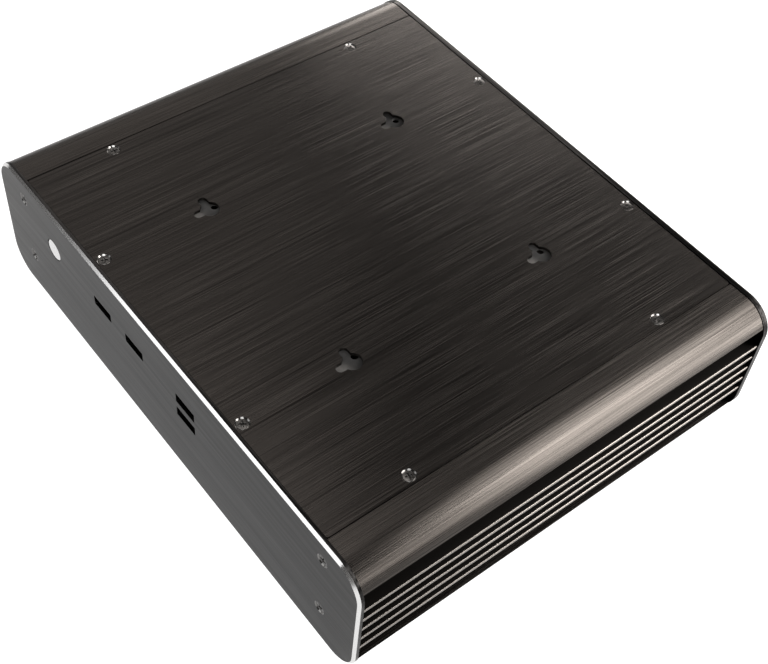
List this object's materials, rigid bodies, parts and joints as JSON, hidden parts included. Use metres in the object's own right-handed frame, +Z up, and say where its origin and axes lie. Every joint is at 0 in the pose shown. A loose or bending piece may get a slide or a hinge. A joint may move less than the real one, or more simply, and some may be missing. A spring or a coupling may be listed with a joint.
{
  "type": "htpc case",
  "caption": "Fanless home theatre computer case with finned sides, thick end plates and wall keyholes, lying upside down.",
  "frame": {"origin": "centre of the footprint, on the surface that the case lies on", "axes": "+X along the front plate to the finned side seen in the picture, +Y from the front plate to the rear plate, +Z up, out of the underside panel"},
  "size_m": [0.261, 0.2144, 0.068],
  "materials": {
    "plate_aluminium": "brushed dark anodised",
    "extruded_aluminium": "brushed dark anodised",
    "panel_aluminium": "brushed dark anodised",
    "tray_steel": "satin zinc plated",
    "bar_aluminium": "dark anodised",
    "screw_steel": "black zinc",
    "post_brass": "satin",
    "button_metal": "polished",
    "black_plastic": "matte",
    "plunger_plastic": "matte",
    "circuit_board": "satin",
    "socket_steel": "satin nickel",
    "tongue_plastic": "satin",
    "bare_aluminium": "machined",
    "pipe_copper": "satin copper"
  },
  "bodies": {
    "case": {"front_panel": "plate_aluminium", "rear_panel": "plate_aluminium", "left_heatsink": "extruded_aluminium", "right_heatsink": "extruded_aluminium", "base_panel": "panel_aluminium", "top_cover": "panel_aluminium", "board_tray": "tray_steel", "front_rail": "bar_aluminium", "rear_rail": "bar_aluminium", "base_panel_screws": "screw_steel", "front_panel_screws": "screw_steel", "rear_panel_screws": "screw_steel", "tray_screws": "screw_steel", "button_screws": "screw_steel", "io_board_screws": "screw_steel", "block_screws": "screw_steel", "clamp_screws": "screw_steel", "board_standoffs": "post_brass", "io_board_posts": "post_brass", "button_housing": "black_plastic", "button_board": "circuit_board", "power_switch": "black_plastic", "usb_port_left": "socket_steel", "usb_port_middle": "socket_steel", "usb_port_stack": "socket_steel", "usb_tongue_left": "tongue_plastic", "usb_tongue_middle": "tongue_plastic", "usb_tongue_upper": "tongue_plastic", "usb_tongue_lower": "tongue_plastic", "front_io_board": "circuit_board", "processor_block": "bare_aluminium", "block_cap": "bare_aluminium", "pipe_clamp_front": "bare_aluminium", "pipe_clamp_rear": "bare_aluminium", "heat_pipe_front": "pipe_copper", "heat_pipe_rear": "pipe_copper"},
    "button": {"power_button": "button_metal", "switch_plunger": "plunger_plastic"}
  },
  "joints": [
    {"name": "button_press", "type": "slide", "parent": "case", "child": "button", "axis": [0, 1, 0], "range_m": [0, 0.0012], "stiffness_N_per_m": 1500, "springref_m": -0.0007}
  ]
}
